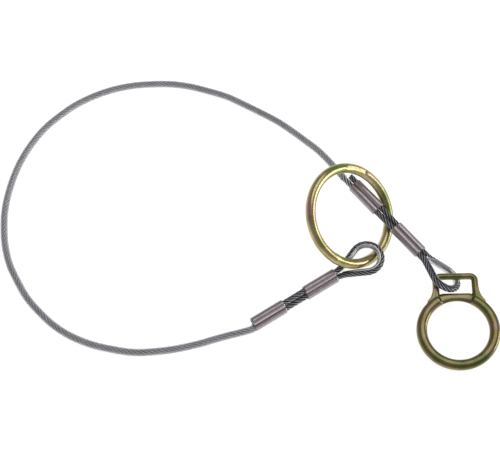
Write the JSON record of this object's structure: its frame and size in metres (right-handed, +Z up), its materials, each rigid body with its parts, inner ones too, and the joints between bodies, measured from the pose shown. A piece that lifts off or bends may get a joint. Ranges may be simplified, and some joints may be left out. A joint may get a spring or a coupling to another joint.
{
  "type": "thimble eye wire rope choker sling",
  "caption": "Coated wire rope choker sling with swaged thimble eyes, a large round ring held in the choke eye and a small forged slotted ring held in the link eye.",
  "frame": {"origin": "on the surface that the sling lies on, under the middle of the rings, eyes and ferrules, with the free rope left out", "axes": "+Z up from that surface; the free rope loops out to -X; +Y from the link ring towards the far side of the large ring"},
  "size_m": [0.4751, 0.3239, 0.0649],
  "materials": {
    "galvanised_strand": "galvanised steel wire, laid in strands, slightly dull",
    "clear_vinyl": "clear extruded vinyl, smooth and semi-gloss",
    "thimble_zinc": "bright zinc plated pressed sheet",
    "swaged_ferrule": "zinc over copper, swaged, mauve grey with pale pink highlights",
    "yellow_zinc": "yellow zinc plating with green and pink bloom"
  },
  "bodies": {
    "sling": {"wire_rope": "galvanised_strand", "vinyl_jacket": "clear_vinyl", "choke_eye_rope": "galvanised_strand", "link_eye_rope": "galvanised_strand", "choke_thimble": "thimble_zinc", "link_thimble": "thimble_zinc", "choke_outer_ferrule": "swaged_ferrule", "choke_inner_ferrule": "swaged_ferrule", "link_inner_ferrule": "swaged_ferrule", "link_outer_ferrule": "swaged_ferrule"},
    "choke_ring": {"choke_ring": "yellow_zinc"},
    "link_ring": {"link_ring": "yellow_zinc"}
  },
  "joints": [
    {"name": "choke_ring_turn", "type": "hinge", "parent": "sling", "child": "choke_ring", "pos_m": [-0.02, 0.0481, 0.03243], "axis": [0.5264, -0.2918, 0.7986], "continuous": true},
    {"name": "link_ring_swing", "type": "hinge", "parent": "sling", "child": "link_ring", "pos_m": [0.05942, -0.01644, 0.01053], "axis": [-0.0105, -0.9963, -0.0851], "range_deg": [0, 50]}
  ]
}
